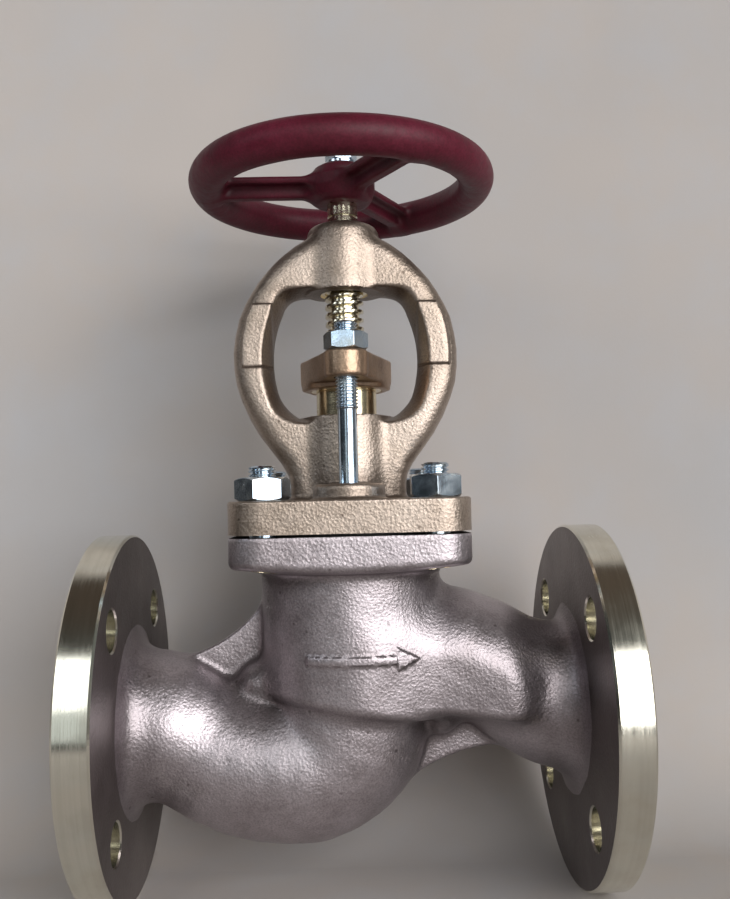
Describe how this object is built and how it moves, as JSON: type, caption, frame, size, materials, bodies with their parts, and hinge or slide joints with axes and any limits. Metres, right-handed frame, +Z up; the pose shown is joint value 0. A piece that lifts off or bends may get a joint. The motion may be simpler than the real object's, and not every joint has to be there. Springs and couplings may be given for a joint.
{
  "type": "globe valve",
  "caption": "Flanged bronze globe valve with a bolted bonnet, outside screw and yoke, rising stem and red spoked handwheel, shown closed.",
  "frame": {"origin": "under the stem axis, at the height of the lowest point of the line flanges, which is the bottom centre of the box", "axes": "+X along the pipe from inlet to outlet, +Z up along the stem, +Y to the back, away from the side with the flow arrow"},
  "size_m": [0.23, 0.165, 0.346],
  "materials": {
    "bronze_body": "sand-cast gunmetal bronze, fine grain, pinkish grey-brown",
    "bronze_bonnet": "sand-cast bronze, fine grain, golden tan",
    "bronze_gland": "sand-cast bronze, darker brown",
    "brass_turned": "turned, fine tool marks",
    "brass_stem": "turned and polished",
    "zinc": "bright zinc plating, bluish",
    "steel": "turned stainless steel",
    "gasket": "graphite sheet, matte",
    "packing": "braided graphite packing",
    "red_paint": "dark maroon red gloss paint on a casting"
  },
  "bodies": {
    "valve_body": {"body": "bronze_body", "seat_ring": "brass_turned", "bonnet": "bronze_bonnet", "bonnet_gasket": "gasket", "bonnet_studs": "zinc", "bonnet_nuts": "zinc", "back_seat_bush": "brass_turned", "packing_rings": "packing", "gland_studs": "zinc", "yoke_bush": "brass_turned", "bush_screw": "steel"},
    "disc_assembly": {"disc": "brass_turned", "disc_nut": "brass_turned", "disc_pin": "steel"},
    "stem_assembly": {"stem": "brass_stem", "split_ring": "steel", "handwheel": "red_paint", "handwheel_washer": "zinc", "handwheel_nut": "zinc"},
    "gland_assembly": {"gland_follower": "brass_turned", "gland_flange": "bronze_gland", "gland_nuts": "zinc"}
  },
  "joints": [
    {"name": "disc_lift", "type": "slide", "parent": "valve_body", "child": "disc_assembly", "axis": [0, 0, 1], "range_m": [0, 0.0151]},
    {"name": "stem_turn", "type": "hinge", "parent": "disc_assembly", "child": "stem_assembly", "pos_m": [0, 0, 0.0825], "axis": [0, 0, 1], "range_deg": [0, 1350]},
    {"name": "gland_take_up", "type": "slide", "parent": "valve_body", "child": "gland_assembly", "axis": [0, 0, 1], "range_m": [-0.003, 0], "deforming": ["packing_rings"]}
  ],
  "couplings": [
    {"joint": "disc_lift", "follows": "stem_turn", "m_per_rad": 0.00063662}
  ]
}
